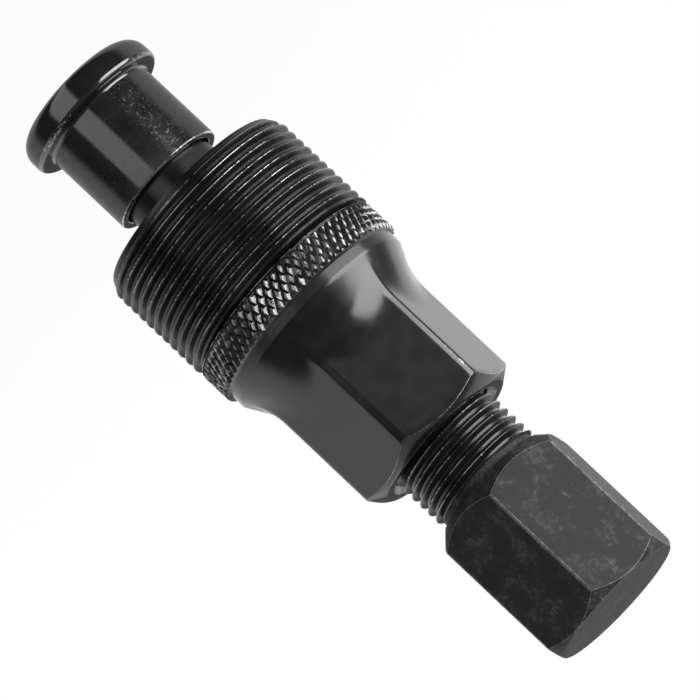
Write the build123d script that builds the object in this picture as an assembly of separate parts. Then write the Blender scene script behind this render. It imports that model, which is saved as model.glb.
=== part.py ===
from build123d import *

import os
from math import cos, radians, sin, tan

# Bicycle crank puller, in millimetres. The tool stands on its push foot with the screw's head up:
# +Z runs along the common axis and Z = 0 is the face of the foot that presses on the axle.

# Drive screw: hexagon head, thread and plain nose
screw_thread_diameter = 12.0
exposed_thread_length = 5.9
head_across_flats = 14.0
head_length = 15.75
head_top_inset = 0.08
head_underside_inset = 0.9
head_corner_trim = 0.04
head_chamfer_angle = 45.0
head_turn = -11.0
nose_step = 1.0
nose_tip_chamfer = 0.6
nose_cover_length = 2.2

# Push foot: a flanged cap on the screw's nose
foot_sleeve_wall = 0.8
foot_sleeve_length = 9.1
foot_rim_chamfer = 0.3
foot_floor_thickness = 3.2
foot_flange_width = 1.5
foot_flange_thickness = 3.0
foot_front_round = 1.6
foot_back_chamfer = 0.25
foot_root_chamfer = 0.3

# Rubber ring that holds the foot on the nose
ring_groove_width = 1.7
ring_groove_depth = 0.9
ring_section_width = 1.4
ring_corner_chamfer = 0.3
ring_height_in_foot = 5.2

# Puller body: outside thread, knurled band, flared shoulder and hexagon
exposed_nose_length = 3.0
body_length = 32.4
crank_thread_diameter = 22.0
crank_thread_length = 11.6
lead_in_length = 1.2
lead_in_depth = 0.7
relief_width = 0.35
relief_depth = 0.4
knurl_length = 3.5
knurl_step = 0.07
knurl_end_chamfer = 0.2
band_length = 1.1
band_depth = 0.6
flare_half_angle = 28.0
flare_radius = 9.0
flare_sink = 0.05
body_across_flats = 16.0
body_corner_trim = 0.08
body_end_inset = 0.1
body_end_chamfer_angle = 42.0
bore_end_chamfer = 0.6
counterbore_spare_depth = 3.4
counterbore_mouth_chamfer = 0.5

# Clearances, each measured on one side
thread_clearance = 0.05
foot_nose_clearance = 0.2
counterbore_clearance = 0.3
ring_clearance = 0.03

# Radii and heights that follow from the sizes above
screw_radius = screw_thread_diameter / 2
bore_radius = screw_radius + thread_clearance
nose_radius = screw_radius - nose_step
groove_radius = nose_radius - ring_groove_depth
foot_bore_radius = nose_radius + foot_nose_clearance
sleeve_radius = foot_bore_radius + foot_sleeve_wall
flange_radius = sleeve_radius + foot_flange_width
counterbore_radius = sleeve_radius + counterbore_clearance
crank_thread_radius = crank_thread_diameter / 2

foot_top = foot_flange_thickness + foot_sleeve_length
ring_middle = foot_floor_thickness + ring_height_in_foot
body_front = foot_top + exposed_nose_length
thread_end = body_front + crank_thread_length
knurl_start = thread_end + relief_width
knurl_end = knurl_start + knurl_length
body_back = body_front + body_length
head_underside = body_back + exposed_thread_length
head_top = head_underside + head_length


def turned(*outline):
    """A solid turned about Z from points given as (radius, height)."""
    return revolve(make_face(Plane.XZ * Polyline(*outline, close=True)), Axis.Z)


def rings(solid, radius, height):
    """The round edges of a turned solid at one radius and height."""
    near = 1e-4
    edges = solid.edges().filter_by(GeomType.CIRCLE)
    edges = edges.filter_by(lambda edge: abs(edge.radius - radius) < near)
    return edges.filter_by(lambda edge: abs(edge.arc_center.Z - height) < near)


def hexagon_bar(across_flats, corner_trim, chamfer_angle, low_end, high_end, turn=0.0):
    """A hexagon bar with trimmed corners, its ends turned to cones that close at (radius, height)."""
    corner_radius = across_flats / 2 / cos(radians(30)) - corner_trim
    slope = tan(radians(chamfer_angle))
    low_radius, low = low_end
    high_radius, high = high_end
    blank = turned(
        (0, low),
        (low_radius, low),
        (corner_radius, low + (corner_radius - low_radius) * slope),
        (corner_radius, high - (corner_radius - high_radius) * slope),
        (high_radius, high),
        (0, high),
    )
    section = RegularPolygon(across_flats / 2, 6, major_radius=False, rotation=turn)
    return blank & Pos(Z=low) * extrude(section, high - low)


def make_push_foot():
    foot = turned(
        (0, 0),
        (flange_radius, 0),
        (flange_radius, foot_flange_thickness - foot_back_chamfer),
        (flange_radius - foot_back_chamfer, foot_flange_thickness),
        (sleeve_radius + foot_root_chamfer, foot_flange_thickness),
        (sleeve_radius, foot_flange_thickness + foot_root_chamfer),
        (sleeve_radius, foot_top - foot_rim_chamfer),
        (sleeve_radius - foot_rim_chamfer, foot_top),
        (foot_bore_radius + foot_rim_chamfer, foot_top),
        (foot_bore_radius, foot_top - foot_rim_chamfer),
        (foot_bore_radius, foot_floor_thickness),
        (0, foot_floor_thickness),
    )
    return fillet(rings(foot, flange_radius, 0), foot_front_round)


def make_foot_ring():
    """The ring as it is squeezed between the nose's groove and the foot's bore."""
    middle_radius = (groove_radius + foot_bore_radius) / 2
    thickness = foot_bore_radius - groove_radius - 2 * ring_clearance
    section = Rectangle(thickness, ring_section_width)
    section = chamfer(section.vertices(), ring_corner_chamfer)
    return revolve(Plane.XZ * Pos(middle_radius, ring_middle) * section, Axis.Z)


def make_drive_screw():
    thread_start = body_front + nose_cover_length
    groove_bottom = ring_middle - ring_groove_width / 2
    groove_top = ring_middle + ring_groove_width / 2
    shank = turned(
        (0, foot_floor_thickness),
        (nose_radius - nose_tip_chamfer, foot_floor_thickness),
        (nose_radius, foot_floor_thickness + nose_tip_chamfer),
        (nose_radius, groove_bottom),
        (groove_radius, groove_bottom),
        (groove_radius, groove_top),
        (nose_radius, groove_top),
        (nose_radius, thread_start),
        (screw_radius, thread_start + nose_step),
        (screw_radius, head_underside),
        (0, head_underside),
    )
    head = hexagon_bar(
        head_across_flats,
        head_corner_trim,
        head_chamfer_angle,
        (head_across_flats / 2 - head_underside_inset, head_underside),
        (head_across_flats / 2 - head_top_inset, head_top),
        head_turn,
    )
    return shank + head


def make_flared_front():
    """Thread, knurl and shoulder: the shoulder's cone runs out in an arc just under the flats."""
    flare_end_radius = body_across_flats / 2 - flare_sink
    angle = radians(flare_half_angle)
    knurl_radius = crank_thread_radius - knurl_step
    band_radius = crank_thread_radius - band_depth
    cone_start = knurl_end + band_length
    cone_end_radius = flare_end_radius + flare_radius * (1 - cos(angle))
    cone_end = cone_start + (band_radius - cone_end_radius) / tan(angle)
    flare_top = cone_end + flare_radius * sin(angle)
    arc = JernArc((cone_end_radius, cone_end), (-sin(angle), cos(angle)), flare_radius, -flare_half_angle)
    outline = Polyline(
        arc @ 1,
        (0, flare_top),
        (0, body_front),
        (crank_thread_radius - lead_in_depth, body_front),
        (crank_thread_radius, body_front + lead_in_length),
        (crank_thread_radius, thread_end),
        (crank_thread_radius - relief_depth, thread_end),
        (crank_thread_radius - relief_depth, knurl_start),
        (knurl_radius - knurl_end_chamfer, knurl_start),
        (knurl_radius, knurl_start + knurl_end_chamfer),
        (knurl_radius, knurl_end - knurl_end_chamfer),
        (knurl_radius - knurl_end_chamfer, knurl_end),
        (band_radius, knurl_end),
        (band_radius, cone_start),
        arc @ 0,
    )
    return revolve(make_face(Plane.XZ * (arc + outline)), Axis.Z)


def make_body_bore():
    """Threaded bore from the back, and the counterbore that the foot's sleeve enters from the front."""
    counterbore_floor = body_front + foot_sleeve_length + counterbore_spare_depth
    return turned(
        (0, body_front),
        (counterbore_radius + counterbore_mouth_chamfer, body_front),
        (counterbore_radius, body_front + counterbore_mouth_chamfer),
        (counterbore_radius, counterbore_floor),
        (bore_radius, counterbore_floor),
        (bore_radius, body_back - bore_end_chamfer),
        (bore_radius + bore_end_chamfer, body_back),
        (0, body_back),
    )


def make_puller_body():
    hexagon = hexagon_bar(
        body_across_flats,
        body_corner_trim,
        body_end_chamfer_angle,
        (body_across_flats / 2, knurl_start),
        (body_across_flats / 2 - body_end_inset, body_back),
    )
    return make_flared_front() + hexagon - make_body_bore()


pieces = {
    "push_foot": make_push_foot(),
    "foot_ring": make_foot_ring(),
    "drive_screw": make_drive_screw(),
    "puller_body": make_puller_body(),
}

os.makedirs("parts", exist_ok=True)
for name, piece in pieces.items():
    export_step(piece, f"parts/{name}.step")
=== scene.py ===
from math import atan2, ceil, cos, hypot, inf, pi, radians, sin, sqrt, tan

import bmesh
import bpy
from mathutils import Matrix, Vector, noise


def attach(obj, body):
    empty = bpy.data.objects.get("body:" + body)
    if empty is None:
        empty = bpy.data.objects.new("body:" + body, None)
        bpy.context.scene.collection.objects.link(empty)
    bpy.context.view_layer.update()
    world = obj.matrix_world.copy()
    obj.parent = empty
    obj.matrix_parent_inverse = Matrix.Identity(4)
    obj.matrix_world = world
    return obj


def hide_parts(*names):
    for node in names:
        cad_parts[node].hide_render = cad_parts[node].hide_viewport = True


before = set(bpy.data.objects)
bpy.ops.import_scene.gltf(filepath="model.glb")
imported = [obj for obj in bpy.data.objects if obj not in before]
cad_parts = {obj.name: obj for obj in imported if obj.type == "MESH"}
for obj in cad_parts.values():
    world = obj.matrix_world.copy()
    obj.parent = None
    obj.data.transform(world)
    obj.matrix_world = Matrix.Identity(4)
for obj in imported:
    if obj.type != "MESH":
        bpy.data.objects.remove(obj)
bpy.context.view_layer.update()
mm = 0.001  # the tool's sizes are in millimetres, and each finished mesh is scaled once
print("frame loaded:", sorted(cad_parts))


# Shader helpers

bumpDistance = 0.03 * mm


class Value:  # a node's output that Python's operators work on
    def __init__(self, tree, socket):
        self.tree = tree
        self.socket = socket

    def math(self, operation, first, second):
        return self.tree.add("ShaderNodeMath", {"operation": operation}, {0: first, 1: second})

    def __add__(self, other):
        return self.math("ADD", self, other)

    def __radd__(self, other):
        return self.math("ADD", other, self)

    def __sub__(self, other):
        return self.math("SUBTRACT", self, other)

    def __rsub__(self, other):
        return self.math("SUBTRACT", other, self)

    def __mul__(self, other):
        return self.math("MULTIPLY", self, other)

    def __rmul__(self, other):
        return self.math("MULTIPLY", other, self)


class NodeTree:  # the nodes of a material or of the world
    def __init__(self, owner):
        owner.use_nodes = True
        self.owner = owner
        self.nodes = owner.node_tree.nodes
        self.links = owner.node_tree.links
        self.nodes.clear()

    def add(self, kind, settings, sockets, output=0):
        node = self.nodes.new(kind)
        for name, setting in settings.items():
            setattr(node, name, setting)
        for key, value in sockets.items():
            if isinstance(value, Value):
                self.links.new(value.socket, node.inputs[key])
            else:
                node.inputs[key].default_value = value
        return Value(self, node.outputs[output]) if len(node.outputs) else node

    def place(self):
        return self.add("ShaderNodeTexCoord", {}, {}, "Object")

    def wear(self):
        return self.add("ShaderNodeAttribute", {"attribute_name": "wear"}, {}, "Fac")

    def ray(self, kind):
        return self.add("ShaderNodeLightPath", {}, {}, kind)

    def noise(self, place, scale, detail, rough):
        sockets = {"Vector": place, "Scale": scale, "Detail": detail, "Roughness": rough}
        return self.add("ShaderNodeTexNoise", {}, sockets)

    def ramp(self, value, low, high, first=0.0, last=1.0):  # smooth step from low to high
        sockets = {"Value": value, "From Min": low, "From Max": high, "To Min": first, "To Max": last}
        return self.add("ShaderNodeMapRange", {"interpolation_type": "SMOOTHSTEP"}, sockets)

    def mixColour(self, factor, first, second):  # a colour is three numbers or another node's output
        sockets = {"Factor": factor, 6: first, 7: second}
        for key in (6, 7):
            if not isinstance(sockets[key], Value):
                sockets[key] = (*sockets[key], 1)
        return self.add("ShaderNodeMix", {"data_type": "RGBA"}, sockets, 2)

    def vectorMath(self, operation, sockets, output="Vector"):
        return self.add("ShaderNodeVectorMath", {"operation": operation}, sockets, output)

    def bump(self, height, strength):
        sockets = {"Height": height, "Distance": bumpDistance, "Strength": strength}
        return self.add("ShaderNodeBump", {}, sockets)

    def finish(self, sockets):  # closes a material with its one shader
        shader = self.add("ShaderNodeBsdfPrincipled", {}, sockets)
        self.add("ShaderNodeOutputMaterial", {}, {"Surface": shader})
        return self.owner


# Mesh helpers

meshing = {"merge": 1e-4, "mergeCuts": 1e-3, "cutNear": 1e-5, "sameHeight": 1e-3,
           "roundAbove": 20.0, "sharpAbove": 40.0, "bevelSegments": 2}  # millimetres and degrees


def newMesh():  # with the attribute that the finishes read for worn edges
    bm = bmesh.new()
    bm.verts.layers.float.new("wear")
    return bm


def wearLayer(bm):
    return bm.verts.layers.float["wear"]


def allOf(bm):
    return bm.verts[:] + bm.edges[:] + bm.faces[:]


def angleOf(vert):
    return atan2(vert.co.y, vert.co.x)


def radiusOf(vert):
    return hypot(vert.co.x, vert.co.y)


def placeVert(vert, angle, radius, height):
    vert.co = (radius * cos(angle), radius * sin(angle), height)


def isLevel(edge, height):
    return all(abs(vert.co.z - height) < meshing["sameHeight"] for vert in edge.verts)


def openRing(bm, height, inner=0.0, outer=inf):  # the open edges at one height, between two radii
    level = [edge for edge in bm.edges if edge.is_boundary and isLevel(edge, height)]
    return [edge for edge in level if all(inner < radiusOf(vert) < outer for vert in edge.verts)]


def startRing(hexagon, radius, height):  # a new mesh with one ring of edges
    bm = newMesh()
    bmesh.ops.create_circle(bm, cap_ends=False, segments=hexagon["columns"], radius=1.0)
    for vert in bm.verts:
        placeVert(vert, angleOf(vert) + radians(hexagon["turn"]), radius, height)
    return bm


def drawRing(bm, edges, place):  # place holds radius, height and wear, or works them out from the angle
    wear = wearLayer(bm)
    made = bmesh.ops.extrude_edge_only(bm, edges=edges)["geom"]
    verts = {item for item in made if isinstance(item, bmesh.types.BMVert)}
    for vert in verts:
        angle = angleOf(vert)
        radius, height, *worn = place(angle) if callable(place) else place
        placeVert(vert, angle, radius, height)
        vert[wear] = worn[0] if worn else 0.0
    madeEdges = [item for item in made if isinstance(item, bmesh.types.BMEdge)]
    return [edge for edge in madeEdges if verts.issuperset(edge.verts)]


def drawRings(bm, edges, places):  # one more ring of faces for each place
    for place in places:
        edges = drawRing(bm, edges, place)
    return edges


def bridgeRings(bm, first, second):
    bmesh.ops.bridge_loops(bm, edges=first + second)


def turnRound(bm, steps):  # turns an outline once about the axis
    bmesh.ops.spin(bm, geom=bm.verts[:] + bm.edges[:], cent=(0, 0, 0), axis=(0, 0, 1), dvec=(0, 0, 0),
                   angle=2 * pi, steps=steps, use_merge=True, use_duplicate=False)
    bmesh.ops.remove_doubles(bm, verts=bm.verts, dist=meshing["merge"])


def copyMoved(bm, geom, rise, turn=0.0):  # a copy, moved up the axis and turned about it
    copied = bmesh.ops.duplicate(bm, geom=geom)["geom"]
    verts = [item for item in copied if isinstance(item, bmesh.types.BMVert)]
    bmesh.ops.rotate(bm, cent=(0, 0, 0), matrix=Matrix.Rotation(turn, 3, "Z"), verts=verts)
    bmesh.ops.translate(bm, vec=(0, 0, rise), verts=verts)


def cutSquare(bm, low, high):
    for height, side in ((low, -1), (high, 1)):
        bmesh.ops.bisect_plane(bm, geom=allOf(bm), dist=meshing["cutNear"], plane_co=(0, 0, height),
                               plane_no=(0, 0, side), clear_outer=True)


def joinMesh(bm, other):
    mesh = bpy.data.meshes.new("joined")
    other.to_mesh(mesh)
    other.free()
    bm.from_mesh(mesh)
    bpy.data.meshes.remove(mesh)


def sharpEdges(bm):
    bm.normal_update()
    limit = radians(meshing["roundAbove"])
    return [edge for edge in bm.edges if edge.is_manifold and edge.calc_face_angle(0.0) > limit]


def bevelEdges(bm, edges, width, worn):  # rounds edges and marks them as worn
    wear = wearLayer(bm)
    made = bmesh.ops.bevel(bm, geom=edges, offset=width, offset_type="OFFSET", affect="EDGES",
                           segments=meshing["bevelSegments"], profile=0.5, material=-1, clamp_overlap=True)
    rounded = set(made["faces"])
    for vert in made["verts"]:
        vert[wear] = worn if rounded.issuperset(vert.link_faces) else 0.0


def setFinish(bm, index):
    for face in bm.faces:
        face.material_index = index


def finishPiece(bm, name, body, node, finishes):
    bmesh.ops.recalc_face_normals(bm, faces=bm.faces)
    bmesh.ops.scale(bm, vec=(mm, mm, mm), verts=bm.verts)
    openEdges = sum(not edge.is_manifold for edge in bm.edges)
    mesh = bpy.data.meshes.new(name)
    bm.to_mesh(mesh)
    bm.free()
    mesh.shade_smooth()
    mesh.set_sharp_from_angle(angle=radians(meshing["sharpAbove"]))
    piece = bpy.data.objects.new(name, mesh)
    bpy.context.scene.collection.objects.link(piece)
    for finish in finishes:
        mesh.materials.append(finish)
    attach(piece, body)
    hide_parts(node)
    print(name, "faces", len(mesh.polygons), "edges not closed", openEdges)


# Hexagons: the puller's body and the screw's head, with slightly rounded corners

halfSide = radians(30)  # half of the angle that one flat spans


def hexCorner(angle, hexagon):  # how far round a spot lies from the nearest corner
    return abs((angle - radians(hexagon["turn"]) + halfSide) % (2 * halfSide) - halfSide)


def hexRadius(angle, hexagon):
    flat = hexagon["acrossFlats"] / 2
    corner = hexagon["cornerRound"]
    aside = hexCorner(angle, hexagon)
    centre = (flat - corner) / cos(halfSide)
    if aside > atan2(corner * sin(halfSide), centre + corner * cos(halfSide)):
        return flat / cos(halfSide - aside)
    return centre * cos(aside) + sqrt(corner ** 2 - (centre * sin(aside)) ** 2)


def hexWear(angle, hexagon):
    return hexagon["cornerWear"] if hexCorner(angle, hexagon) < radians(hexagon["wearReach"]) else 0.0


# Threads: one pitch of the profile, spun along its helix, cut square at both ends and given a lead-in

threadForm = {"crestFlat": 1 / 8, "rootFlat": 2 / 9,  # as shares of the pitch
              "softDrop": 0.025, "softRun": 0.025 / 3}  # the crest's softened edge


def threadOutline(thread):  # radius and height over one pitch, from root to root
    pitch = thread["pitch"]
    crest = thread["crest"]
    root = thread["root"]
    crestHalf = pitch * threadForm["crestFlat"] / 2
    rootHalf = pitch * threadForm["rootFlat"] / 2
    flankRun = pitch / 2 - crestHalf - rootHalf
    outline = [(root, -rootHalf), (root, 0.0), (root, rootHalf)]
    for share in thread["flankShares"]:
        outline.append((root + (crest - root) * share, rootHalf + flankRun * share))
    outline.append((crest - threadForm["softDrop"], pitch / 2 - crestHalf - threadForm["softRun"]))
    outline.append((crest, pitch / 2 - crestHalf / 2))
    return outline + [(radius, pitch - height) for radius, height in reversed(outline[2:])]


def turnLeadIn(bm, thread):  # brings the first turns down to a cone
    for vert in bm.verts:
        limit = thread["leadRadius"] + (vert.co.z - thread["low"]) * thread["leadSlope"]
        if radiusOf(vert) > limit:
            placeVert(vert, angleOf(vert), limit, vert.co.z)
    bmesh.ops.remove_doubles(bm, verts=bm.verts, dist=meshing["mergeCuts"])


def cutThread(thread):
    bm = newMesh()
    wear = wearLayer(bm)
    pitch = thread["pitch"]
    steps = thread["steps"]
    below = thread["low"] - pitch
    verts = [bm.verts.new((radius, 0, below + height)) for radius, height in threadOutline(thread)]
    edges = [bm.edges.new(pair) for pair in zip(verts, verts[1:])]
    for vert in verts:
        vert[wear] = 1.0 if vert.co.x > thread["crest"] - threadForm["softDrop"] / 2 else 0.0
    bmesh.ops.spin(bm, geom=verts + edges, cent=(0, 0, 0), axis=(0, 0, 1), dvec=(0, 0, pitch / steps),
                   angle=2 * pi, steps=steps, use_merge=False, use_duplicate=False)
    firstTurn = allOf(bm)
    copies = ceil((thread["high"] - thread["low"]) / pitch) + 1
    for copy in range(copies):
        copyMoved(bm, firstTurn, rise=pitch * (copy + 1))
    bmesh.ops.remove_doubles(bm, verts=bm.verts, dist=meshing["merge"])
    phase = Matrix.Rotation(radians(thread["phase"]), 3, "Z")
    bmesh.ops.rotate(bm, cent=(0, 0, 0), matrix=phase, verts=bm.verts)
    cutSquare(bm, thread["low"], thread["high"])
    turnLeadIn(bm, thread)
    return bm


# Puller body: outside thread, knurled band, flared shoulder and hexagon, with the bore through it
# (finish is a place in the piece's list of finishes)

crankThread = {"pitch": 1.0, "crest": 11.0, "root": 10.42, "low": 15.1, "high": 26.7, "steps": 120,
               "phase": 180.0, "leadRadius": 10.3, "leadSlope": 0.7 / 1.2,
               "flankShares": (0.25, 0.5, 0.75), "finish": 1}

bodyHex = {"columns": 480, "turn": 0.0, "acrossFlats": 16.0, "cornerRound": 0.95, "cornerWear": 0.72,
           "wearReach": 1.0, "wearStart": 0.9, "wearGain": 0.2, "high": 47.5, "endRadius": 7.5,
           "endSlope": 0.72, "endReach": 3.0, "endWear": 1.0, "edgeRound": 0.09}

flare = {"bandRadius": 10.4, "bandLow": 30.55, "low": 31.65, "halfAngle": 28.0, "blend": 1.05,
         "rows": 24, "edgeRow": 0.15, "coneEase": 0.8, "flatEase": 1.5, "edgeWear": 0.4}

bodyBore = {"radius": 6.05, "mouth": 6.65, "mouthDepth": 0.6, "counterbore": 6.3, "counterboreTop": 27.6,
            "frontMouth": 6.8, "frontMouthDepth": 0.5, "front": 15.1}

flareSlope = tan(radians(flare["halfAngle"]))


def creaseHeight(angle):  # where the flare's cone meets the hexagon
    return flare["low"] + (flare["bandRadius"] - hexRadius(angle, bodyHex)) / flareSlope


def chamferHeight(angle):  # where the hexagon meets its end chamfer
    return bodyHex["high"] - (hexRadius(angle, bodyHex) - bodyHex["endRadius"]) * bodyHex["endSlope"]


def bodyRadius(angle, height):  # the larger of cone and hexagon, with a soft hollow where they meet
    cone = flare["bandRadius"] - (height - flare["low"]) * flareSlope
    flat = hexRadius(angle, bodyHex)
    near = max(flare["blend"] - abs(cone - flat), 0.0)
    return max(cone, flat) + near ** 2 / (4 * flare["blend"])


def flareRow(share):
    def place(angle):
        height = flare["low"] + (creaseHeight(angle) - flare["low"]) * share
        return bodyRadius(angle, height), height
    return place


def flatRow(share):
    def place(angle):
        crease = creaseHeight(angle)
        height = crease + (chamferHeight(angle) - crease) * share
        worn = hexWear(angle, bodyHex) * (bodyHex["wearStart"] + bodyHex["wearGain"] * share)
        return bodyRadius(angle, height), height, worn
    return place


def borePlaces():  # from the hexagon's end face through the bore to the front
    high = bodyHex["high"]
    step = bodyBore["counterboreTop"]
    return [(bodyHex["endRadius"], high), (bodyBore["mouth"], high),
            (bodyBore["radius"], high - bodyBore["mouthDepth"]), (bodyBore["radius"], step),
            (bodyBore["counterbore"], step),
            (bodyBore["counterbore"], bodyBore["front"] + bodyBore["frontMouthDepth"]),
            (bodyBore["frontMouth"], bodyBore["front"])]


def roundShoulder(bm):  # the band's edge and the edges at the hexagon's end
    inner = (bodyBore["mouth"] + bodyHex["endRadius"]) / 2
    outside = [edge for edge in sharpEdges(bm) if all(radiusOf(vert) > inner for vert in edge.verts)]
    bandEdges = [edge for edge in outside if isLevel(edge, flare["low"])]
    endLow = bodyHex["high"] - bodyHex["endReach"]
    endEdges = [edge for edge in outside if all(vert.co.z > endLow for vert in edge.verts)]
    bevelEdges(bm, bandEdges, bodyHex["edgeRound"], flare["edgeWear"])
    bevelEdges(bm, endEdges, bodyHex["edgeRound"], bodyHex["endWear"])


def makeShoulder():
    bm = startRing(bodyHex, flare["bandRadius"], flare["bandLow"])
    rows = flare["rows"]
    places = [(flare["bandRadius"], flare["low"] - flare["edgeRow"])]
    places += [flareRow((row / rows) ** flare["coneEase"]) for row in range(rows + 1)]
    places += [flatRow((row / rows) ** flare["flatEase"]) for row in range(1, rows + 1)]
    drawRings(bm, bm.edges[:], places + borePlaces())
    roundShoulder(bm)
    return bm


knurl = {"around": 72, "axialPitch": 1.5, "rows": 6, "first": 26.87, "low": 27.2, "high": 30.4,
         "groove": 10.62, "height": 0.3, "inset": 0.31, "ridge": 2.3, "wholeShare": 0.8, "cutShare": 0.3,
         "ragged": 0.12, "raggedScale": 3.7, "raggedRidge": 8, "raggedSink": 0.5, "seed": 5,
         "wear": 0.95, "wearFrom": 0.6, "finish": 2}


def drawRidge(face, across, along):  # draws a tooth out along the deeper cut, each a little unlike
    centre = face.calc_center_median()
    outward = Vector((centre.x, centre.y, 0)).normalized()
    aside = Vector((-outward.y, outward.x, 0))
    ridge = (aside * across + Vector((0, 0, along))).normalized()
    unlike = noise.noise_vector(centre * knurl["raggedScale"]) * knurl["ragged"]
    for vert in face.verts:
        stretch = (vert.co - centre).dot(ridge) * (knurl["ridge"] - 1 + unlike.z * knurl["raggedRidge"])
        vert.co += ridge * stretch + aside * unlike.x - outward * abs(unlike.y) * knurl["raggedSink"]


def raiseTeeth(bm, across, along):  # those that the band's ends cut stay low
    whole = max(face.calc_area() for face in bm.faces) * knurl["wholeShare"]
    teeth = [face for face in bm.faces if face.calc_area() > whole]
    cutTeeth = [face for face in bm.faces if face.calc_area() <= whole]
    for faces, share in ((teeth, 1.0), (cutTeeth, knurl["cutShare"])):
        bmesh.ops.inset_individual(bm, faces=faces, thickness=knurl["inset"] * share,
                                   depth=knurl["height"] * share, use_even_offset=True)
    noise.seed_set(knurl["seed"])
    for face in teeth:
        drawRidge(face, across, along)
    wear = wearLayer(bm)
    wornRadius = knurl["groove"] + knurl["height"] * knurl["wearFrom"]
    for vert in bm.verts:
        vert[wear] = knurl["wear"] if radiusOf(vert) > wornRadius else 0.0


def makeKnurl():
    bm = newMesh()
    around = knurl["around"]
    groove = knurl["groove"]
    halfTurn = pi / around
    halfRise = knurl["axialPitch"] / 2
    corners = [(0, -halfRise), (halfTurn, 0), (0, halfRise), (-halfTurn, 0)]
    diamond = [bm.verts.new((groove * cos(turn), groove * sin(turn), rise)) for turn, rise in corners]
    bm.faces.new(diamond)
    bmesh.ops.spin(bm, geom=allOf(bm), cent=(0, 0, 0), axis=(0, 0, 1), dvec=(0, 0, 0),
                   angle=2 * pi * (around - 1) / around, steps=around - 1, use_duplicate=True)
    bmesh.ops.translate(bm, vec=(0, 0, knurl["first"]), verts=bm.verts)
    firstRow = allOf(bm)
    for row in range(1, knurl["rows"]):
        copyMoved(bm, firstRow, rise=halfRise * row, turn=halfTurn * row)
    bmesh.ops.remove_doubles(bm, verts=bm.verts, dist=meshing["mergeCuts"])
    cutSquare(bm, knurl["low"], knurl["high"])
    bmesh.ops.recalc_face_normals(bm, faces=bm.faces)
    if bm.faces[0].normal.dot(bm.faces[0].calc_center_median()) < 0:
        bmesh.ops.reverse_faces(bm, faces=bm.faces)
    raiseTeeth(bm, groove * halfTurn, halfRise)
    setFinish(bm, knurl["finish"])
    return bm


knurlRim = {"relief": 10.25, "low": 27.05, "radius": 10.84, "bevel": 0.1, "edgeLow": 0.05,
            "edgeHigh": 0.09, "depth": 0.13, "wear": 1.0}


def drawRim(bm):  # the groove behind the thread and the thin rim before the knurl
    high = crankThread["high"]
    low = knurlRim["low"]
    radius = knurlRim["radius"]
    drawRings(bm, openRing(bm, high), [(knurlRim["relief"], (high + low) / 2),
                                       (radius - knurlRim["bevel"], low),
                                       (radius, low + knurlRim["edgeLow"], knurlRim["wear"]),
                                       (radius, low + knurlRim["edgeHigh"], knurlRim["wear"]),
                                       (knurl["groove"], low + knurlRim["depth"])])


def makePullerBody(finish, threadFinish, knurlFinish):
    bm = makeShoulder()
    thread = cutThread(crankThread)
    setFinish(thread, crankThread["finish"])
    joinMesh(bm, thread)
    drawRim(bm)
    joinMesh(bm, makeKnurl())
    bridgeRings(bm, openRing(bm, knurlRim["low"] + knurlRim["depth"]), openRing(bm, knurl["low"]))
    bridgeRings(bm, openRing(bm, knurl["high"]), openRing(bm, flare["bandLow"]))
    front = bodyBore["front"]
    middle = (bodyBore["frontMouth"] + crankThread["leadRadius"]) / 2
    bridgeRings(bm, openRing(bm, front, outer=middle), openRing(bm, front, inner=middle))
    finishPiece(bm, "pullerBody", "puller_body", "puller_body",
                [finish, threadFinish, knurlFinish])


# Drive screw: plain nose with the ring's groove, thread and hexagon head

screwThread = {"pitch": 1.0, "crest": 5.95, "root": 5.38, "low": 17.3, "high": 52.6, "steps": 72,
               "phase": 252.0, "leadRadius": 5.0, "leadSlope": 1.0, "flankShares": (0.35, 0.7)}

screwNose = {"radius": 5.0, "high": 13.25, "grooveTop": 9.25, "grooveRadius": 4.1, "grooveLow": 7.55,
             "tipRadius": 4.4, "tipDepth": 0.6, "low": 3.2}

headHex = {"columns": 480, "turn": -11.0, "acrossFlats": 14.0, "cornerRound": 0.3, "cornerWear": 0.95,
           "wearReach": 0.9, "neckRadius": 5.55, "neckRise": 0.15, "neckSoft": 0.1, "lowRadius": 6.1,
           "low": 53.4, "highRadius": 6.92, "high": 69.15, "edgeRound": 0.1, "edgeWear": 1.0,
           "endWear": 0.5, "endRings": (0.97, 0.9, 0.6, 0.3, 0.1), "finish": 1,
           "rows": (0.0, 0.015, 0.05, 0.12, 0.3, 0.5, 0.7, 0.88, 0.95, 0.985, 1.0)}


def headRow(share):
    def place(angle):
        radius = hexRadius(angle, headHex)
        low = headHex["low"] + radius - headHex["lowRadius"]
        high = headHex["high"] - (radius - headHex["highRadius"])
        worn = hexWear(angle, headHex) if 0 < share < 1 else headHex["cornerWear"]
        return radius, low + (high - low) * share, worn
    return place


def makeHead():
    bm = startRing(headHex, headHex["lowRadius"], headHex["low"])
    high = headHex["high"]
    rim = headHex["highRadius"]
    places = [headRow(share) for share in headHex["rows"]] + [(rim, high)]
    places += [(rim * share, high, headHex["endWear"]) for share in headHex["endRings"]]
    bmesh.ops.holes_fill(bm, edges=drawRings(bm, bm.edges[:], places), sides=0)
    bevelEdges(bm, sharpEdges(bm), headHex["edgeRound"], headHex["edgeWear"])
    setFinish(bm, headHex["finish"])
    return bm


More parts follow.
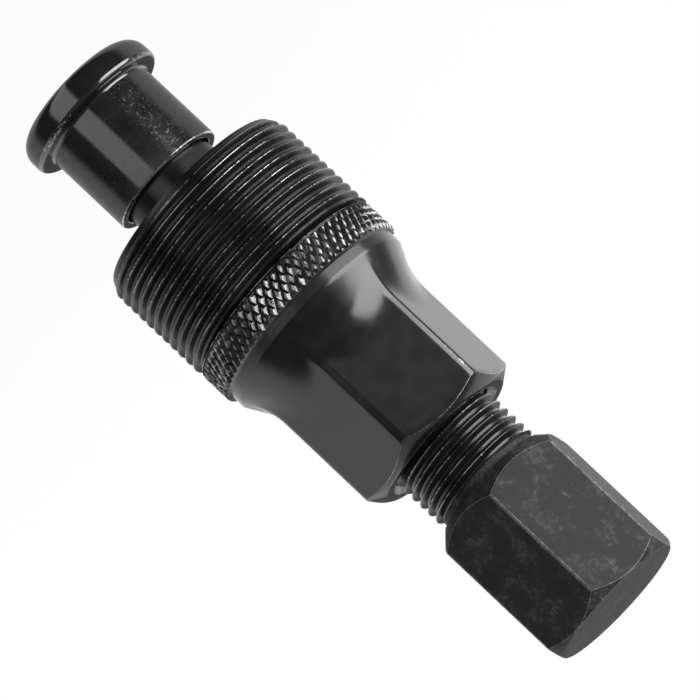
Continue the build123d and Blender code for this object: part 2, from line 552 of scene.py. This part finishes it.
def drawNose(bm):
    radius = screwNose["radius"]
    low = screwNose["low"]
    grooveLow = screwNose["grooveLow"]
    grooveTop = screwNose["grooveTop"]
    grooveRadius = screwNose["grooveRadius"]
    tip = drawRings(bm, openRing(bm, screwThread["low"]), [
        (radius, screwNose["high"]), (radius, grooveTop), (grooveRadius, grooveTop),
        (grooveRadius, grooveLow), (radius, grooveLow), (radius, low + screwNose["tipDepth"]),
        (screwNose["tipRadius"], low)])
    bmesh.ops.holes_fill(bm, edges=tip, sides=0)


def drawNeck(bm):
    neck = headHex["neckRadius"]
    soft = headHex["neckSoft"]
    low = screwThread["high"]
    high = headHex["low"]
    places = [(neck, low + headHex["neckRise"]), (neck, high - soft), (neck + soft, high)]
    drawRings(bm, openRing(bm, low), places)
    for face in bm.faces:
        face.material_index = headHex["finish"] if face.calc_center_median().z > low else 0


def makeDriveScrew(threadFinish, headFinish):
    bm = cutThread(screwThread)
    drawNose(bm)
    drawNeck(bm)
    joinMesh(bm, makeHead())
    low = headHex["low"]
    middle = (headHex["neckRadius"] + headHex["neckSoft"] + headHex["lowRadius"]) / 2
    bridgeRings(bm, openRing(bm, low, outer=middle), openRing(bm, low, inner=middle))
    finishPiece(bm, "driveScrew", "drive_screw", "drive_screw",
                [threadFinish, headFinish])


# Push foot: a flanged cap, turned from one outline

pushFoot = {"steps": 200, "roundSegments": 8,
            "shortEdge": 0.5,  # edges shorter than this share of a corner's round lie in the round
            "outline": [  # radius, height, and the round and wear of that corner
                (0.0, 0.0, 0.0, 0.0), (7.5, 0.0, 1.6, 0.45), (7.5, 3.0, 0.5, 0.8), (6.0, 3.0, 0.35, 0.0),
                (6.0, 12.1, 0.22, 1.0), (5.2, 12.1, 0.22, 0.6), (5.2, 3.2, 0.1, 0.0), (0.0, 3.2, 0.0, 0.0)]}


def roundCorner(bm, vert, corner, worn):
    wear = wearLayer(bm)
    made = bmesh.ops.bevel(bm, geom=[vert], offset=corner, offset_type="OFFSET", affect="VERTICES",
                           segments=pushFoot["roundSegments"], profile=0.5, material=-1)
    short = corner * pushFoot["shortEdge"]
    for roundVert in made["verts"]:
        inRound = all(edge.calc_length() < short for edge in roundVert.link_edges)
        roundVert[wear] = worn if inRound else 0.0


def makePushFoot(finish):
    bm = newMesh()
    verts = [bm.verts.new((radius, 0, height)) for radius, height, corner, worn in pushFoot["outline"]]
    for pair in zip(verts, verts[1:]):
        bm.edges.new(pair)
    for vert, (radius, height, corner, worn) in zip(verts, pushFoot["outline"]):
        if corner:
            roundCorner(bm, vert, corner, worn)
    turnRound(bm, pushFoot["steps"])
    finishPiece(bm, "pushFoot", "push_foot", "push_foot", [finish])


# Rubber ring in the nose's groove

footRing = {"middle": 4.65, "height": 8.4, "halfThickness": 0.52, "halfWidth": 0.7, "sides": 20,
            "steps": 96}


def makeFootRing(finish):
    bm = bmesh.new()
    bmesh.ops.create_circle(bm, cap_ends=False, segments=footRing["sides"], radius=1.0)
    for vert in bm.verts:
        across = vert.co.x * footRing["halfThickness"]
        along = vert.co.y * footRing["halfWidth"]
        vert.co = (footRing["middle"] + across, 0, footRing["height"] + along)
    turnRound(bm, footRing["steps"])
    finishPiece(bm, "footRing", "foot_ring", "foot_ring", [finish])


# Finishes: a noise is its scale, detail and roughness, and a range is where a ramp starts and ends

oxideLook = {"dark": (0.006, 0.006, 0.0065), "light": (0.011, 0.011, 0.0115), "steel": (0.5, 0.49, 0.47),
             "roughness": 0.17, "roughnessSpread": 0.1, "patches": (240.0, 2.0, 0.5),
             "clouds": (600.0, 3.0, 0.5), "fine": (2600.0, 4.0, 0.65), "grain": (8000.0, 2.0, 0.5),
             "pits": (4500.0, 3.0, 0.6), "pitRange": (0.54, 0.69), "cloudRange": (0.3, 0.7),
             "wornLow": 0.95, "wornHigh": 1.1, "wornBase": 0.1, "wornFine": 0.9, "wornPatches": 0.9,
             "wornRoughness": 0.12, "wornMetal": 0.85, "fineBump": 0.4}

oxidePlaces = {
    "blackOxideBody": {"wear": 0.1, "dullness": 0.0, "bump": 0.1, "pitting": 0.0, "ior": 1.6},
    "blackOxideThread": {"wear": 0.0, "dullness": 0.05, "bump": 0.4, "pitting": 0.0, "ior": 1.5},
    "blackOxideKnurl": {"wear": 0.1, "dullness": 0.05, "bump": 0.6, "pitting": 0.0, "ior": 2.1},
    "blackOxideFoot": {"wear": 0.05, "dullness": -0.09, "bump": 0.05, "pitting": 0.15, "ior": 1.9}}


def makeOxide(name):
    look = oxideLook
    here = oxidePlaces[name]
    tree = NodeTree(bpy.data.materials.new(name))
    place = tree.place()
    patches = tree.noise(place, *look["patches"])
    cloud = tree.noise(place, *look["clouds"])
    fine = tree.noise(place, *look["fine"])
    grain = tree.noise(place, *look["grain"])
    pits = tree.ramp(tree.noise(place, *look["pits"]), *look["pitRange"], 0.0, here["pitting"])
    broken = look["wornBase"] + fine * look["wornFine"] + patches * look["wornPatches"]
    worn = tree.ramp(tree.wear() * broken, look["wornLow"] - here["wear"], look["wornHigh"] - here["wear"])
    colour = tree.mixColour(tree.ramp(cloud, *look["cloudRange"]), look["dark"], look["light"])
    rough = look["roughness"] + here["dullness"] + (cloud - 0.5) * look["roughnessSpread"]
    return tree.finish({
        "Base Color": tree.mixColour(worn, colour, look["steel"]), "Metallic": worn * look["wornMetal"],
        "Roughness": rough + worn * look["wornRoughness"] + pits, "IOR": here["ior"],
        "Normal": tree.bump(grain + fine * look["fineBump"], here["bump"])})


headLook = {"dark": (0.009, 0.009, 0.0095), "light": (0.024, 0.024, 0.024), "scuff": (0.11, 0.109, 0.105),
            "edge": (0.4, 0.397, 0.39), "roughness": 0.58, "roughnessSpread": 0.4, "gloss": 0.27,
            "clouds": (380.0, 4.0, 0.6), "fine": (2200.0, 4.0, 0.65), "grain": (6000.0, 2.0, 0.5),
            "scratches": (2600.0, 2.0, 0.5), "scratchDrawn": (1, 1, 0.08), "scratchRange": (0.63, 0.72),
            "scratchPlaces": (0.45, 0.6), "scuffRange": (0.5, 0.66), "cloudRange": (0.3, 0.7),
            "wornBase": 0.5, "wornRange": (0.72, 1.0), "wornMetal": 0.4, "endRange": (0.2, 0.45),
            "scuffShare": 0.4, "scratchShare": 0.5, "endShare": 0.4, "scratchBump": 0.5, "bump": 0.3}


def makeHeadFinish():
    look = headLook
    tree = NodeTree(bpy.data.materials.new("scuffedHead"))
    place = tree.place()
    cloud = tree.noise(place, *look["clouds"])
    fine = tree.noise(place, *look["fine"])
    grain = tree.noise(place, *look["grain"])
    edge = tree.wear()
    worn = tree.ramp(edge * (look["wornBase"] + fine), *look["wornRange"])
    endFace = tree.ramp(edge, *look["endRange"])
    drawn = tree.add("ShaderNodeMapping", {}, {"Vector": place, "Scale": look["scratchDrawn"]})
    scratch = tree.ramp(tree.noise(drawn, *look["scratches"]), *look["scratchRange"])
    scratch = scratch * tree.ramp(cloud, *look["scratchPlaces"])
    scuff = tree.ramp((cloud + fine) * 0.5, *look["scuffRange"])
    paler = scuff * look["scuffShare"] + scratch * look["scratchShare"] + endFace * look["endShare"]
    colour = tree.mixColour(tree.ramp(cloud, *look["cloudRange"]), look["dark"], look["light"])
    colour = tree.mixColour(paler, colour, look["scuff"])
    return tree.finish({
        "Base Color": tree.mixColour(worn, colour, look["edge"]), "Metallic": worn * look["wornMetal"],
        "Roughness": look["roughness"] + (cloud - 0.5) * look["roughnessSpread"],
        "Specular IOR Level": look["gloss"],
        "Normal": tree.bump(grain + fine - scratch * look["scratchBump"], look["bump"])})


rubberLook = {"dark": (0.012, 0.012, 0.012), "light": (0.024, 0.024, 0.024), "roughness": 0.55,
              "roughnessSpread": 0.15, "grain": (3000.0, 3.0, 0.5), "bump": 0.15}


def makeRubber():
    tree = NodeTree(bpy.data.materials.new("ringRubber"))
    grain = tree.noise(tree.place(), *rubberLook["grain"])
    return tree.finish({
        "Base Color": tree.mixColour(grain, rubberLook["dark"], rubberLook["light"]),
        "Roughness": rubberLook["roughness"] + grain * rubberLook["roughnessSpread"],
        "Normal": tree.bump(grain, rubberLook["bump"])})


# Studio, in metres: a floor white to the camera, with painted reflections and painted shade for shiny
# surfaces, soft surroundings, one lamp and the camera
# (a patch is its azimuth and elevation in degrees, where it starts and is full, and its level)

# painted reflections: the floor's two patches at the end of this table glow only for shiny surfaces, and
# are dim to them elsewhere
studioFloor = {"radius": 0.225, "sides": 96, "drop": 0.0152, "fade": 0.19, "edge": 0.95, "near": 0.02,
               # painted shade: the floor's paint for every ray but the camera's is near black
               "glow": 0.8, "gloss": 0.02, "paint": (0.9, 0.9, 0.9), "paintedShadeForReflections": (0.05, 0.05, 0.05),
               "paintedReflectionCard": (-52.0, 0.0, 0.92, 0.96, 1.0), "back": (103.0, 0.0, -0.2, 0.2, 0.45)}

surroundings = {"ambient": 0.6,
                "dark": (-57.0, 20.0, 0.36, 0.67, 0.1), "gap": (173.0, 0.0, 0.9, 0.975, 0.25),
                "zenith": (0.0, 90.0, 0.75, 0.95, 0.5), "rear": (103.0, 12.0, 0.9, 0.97, 0.15),
                "bright": (137.0, -10.0, 0.8, 0.95, 0.4)}

keySoftbox = {"azimuth": -143.0, "elevation": 8.5, "distance": 0.9, "width": 0.98, "height": 0.98,
              "aimHeight": 0.035, "watts": 16.0}

cameraSpot = {"azimuth": -77.0, "elevation": 11.8, "distance": 0.7, "centreHeight": 0.03425,
              "aimHeight": 0.03528, "aimAside": -0.000045, "roll": 133.24, "lens": 394.7, "sensor": 36.0,
              "nearest": 0.01}


def direction(azimuth, elevation):
    across = cos(radians(elevation))
    return Vector((across * cos(radians(azimuth)), across * sin(radians(azimuth)), sin(radians(elevation))))


def patch(tree, along, azimuth, elevation, start, full, level, around=1.0):
    sockets = {0: along, 1: direction(azimuth, elevation)}
    return tree.ramp(tree.vectorMath("DOT_PRODUCT", sockets, "Value"), start, full, around, level)


def makeFloorPaint():
    tree = NodeTree(bpy.data.materials.new("studioFloor"))
    seen = tree.ray("Is Camera Ray") + tree.ray("Is Transmission Ray")
    level = tree.vectorMath("MULTIPLY", {0: tree.place(), 1: (1, 1, 0)})
    outward = tree.vectorMath("LENGTH", {0: level}, "Value")
    aside = tree.vectorMath("NORMALIZE", {0: level})
    edge = studioFloor["radius"] * studioFloor["edge"]
    rim = tree.ramp(outward, studioFloor["fade"], edge)
    whiter = tree.ramp(outward, studioFloor["near"], edge, studioFloor["glow"], 1.0)
    # painted reflections: patches of the floor that glow only where shiny surfaces reflect them, giving no
    # light of their own otherwise
    paintedReflectionCard = patch(tree, aside, *studioFloor["paintedReflectionCard"], around=studioFloor["gloss"])
    back = patch(tree, aside, *studioFloor["back"], around=0.0)
    lit = seen * whiter + tree.ray("Is Glossy Ray") * (paintedReflectionCard + back)
    glowing = tree.add("ShaderNodeMath", {"operation": "MAXIMUM"}, {0: lit, 1: rim})
    # painted shade: to everything but the camera the floor is near black, so shiny surfaces reflect it dark
    colour = tree.mixColour(seen, studioFloor["paintedShadeForReflections"], studioFloor["paint"])
    paint = tree.add("ShaderNodeBsdfDiffuse", {}, {"Color": colour})
    glow = tree.add("ShaderNodeEmission", {}, {"Color": (1, 1, 1, 1), "Strength": 1.0})
    shader = tree.add("ShaderNodeMixShader", {}, {0: glowing, 1: paint, 2: glow})
    tree.add("ShaderNodeOutputMaterial", {}, {"Surface": shader})
    return tree.owner


def makeFloor():
    bm = bmesh.new()
    bmesh.ops.create_circle(bm, cap_ends=True, segments=studioFloor["sides"], radius=studioFloor["radius"])
    bmesh.ops.translate(bm, vec=(0, 0, -studioFloor["drop"]), verts=bm.verts)
    mesh = bpy.data.meshes.new("studioFloor")
    bm.to_mesh(mesh)
    bm.free()
    mesh.materials.append(makeFloorPaint())
    floor = bpy.data.objects.new("studioFloor", mesh)
    bpy.context.scene.collection.objects.link(floor)


def makeSurroundings():  # white to the camera, and a room with darker patches to a shiny surface
    world = bpy.data.worlds.new("studio")
    bpy.context.scene.world = world
    tree = NodeTree(world)
    along = tree.add("ShaderNodeTexCoord", {}, {}, "Generated")
    bearing = tree.vectorMath("NORMALIZE", {0: tree.vectorMath("MULTIPLY", {0: along, 1: (1, 1, 0)})})
    room = patch(tree, along, *surroundings["dark"])
    room = room * patch(tree, bearing, *surroundings["gap"])
    room = room * patch(tree, along, *surroundings["zenith"])
    room = room * patch(tree, along, *surroundings["rear"])
    room = room + patch(tree, along, *surroundings["bright"], around=0.0)
    white = tree.ray("Is Camera Ray") + tree.ray("Is Transmission Ray")
    lit = surroundings["ambient"] + tree.ray("Is Glossy Ray") * (room - surroundings["ambient"])
    level = white + (1 - white) * lit
    light = tree.add("ShaderNodeBackground", {}, {"Color": (1, 1, 1, 1), "Strength": level})
    tree.add("ShaderNodeOutputWorld", {}, {"Surface": light})


def makeKeySoftbox():
    lamp = bpy.data.lights.new("keySoftbox", "AREA")
    lamp.shape = "RECTANGLE"
    lamp.size = keySoftbox["width"]
    lamp.size_y = keySoftbox["height"]
    lamp.energy = keySoftbox["watts"]
    away = direction(keySoftbox["azimuth"], keySoftbox["elevation"]) * keySoftbox["distance"]
    spot = bpy.data.objects.new("keySoftbox", lamp)
    spot.location = Vector((0, 0, keySoftbox["aimHeight"])) + away
    spot.rotation_euler = away.to_track_quat("Z", "Y").to_euler()
    spot.visible_camera = False
    bpy.context.scene.collection.objects.link(spot)


def makeCamera():
    camera = bpy.data.cameras.new("camera")
    camera.sensor_width = cameraSpot["sensor"]
    camera.lens = cameraSpot["lens"]
    camera.clip_start = cameraSpot["nearest"]
    upwards = Vector((0, 0, 1))
    away = direction(cameraSpot["azimuth"], cameraSpot["elevation"])
    spot = upwards * cameraSpot["centreHeight"] + away * cameraSpot["distance"]
    levelRight = (-away).cross(upwards).normalized()
    aim = upwards * cameraSpot["aimHeight"] + levelRight * cameraSpot["aimAside"]
    back = (spot - aim).normalized()
    right = (-back).cross(upwards).normalized()
    up = back.cross(right)
    roll = radians(cameraSpot["roll"])
    turnedRight = right * cos(roll) + up * sin(roll)
    turnedUp = up * cos(roll) - right * sin(roll)
    holder = bpy.data.objects.new("camera", camera)
    holder.matrix_world = Matrix((turnedRight, turnedUp, back)).transposed().to_4x4()
    holder.location = spot
    bpy.context.scene.collection.objects.link(holder)
    bpy.context.scene.camera = holder


bpy.context.scene.view_settings.view_transform = "Standard"
bodyOxide = makeOxide("blackOxideBody")
threadOxide = makeOxide("blackOxideThread")
knurlOxide = makeOxide("blackOxideKnurl")
footOxide = makeOxide("blackOxideFoot")
makePullerBody(bodyOxide, threadOxide, knurlOxide)
makeDriveScrew(threadOxide, makeHeadFinish())
makePushFoot(footOxide)
makeFootRing(makeRubber())
print("pieces made")
makeFloor()
makeSurroundings()
makeKeySoftbox()
makeCamera()
print("studio made")
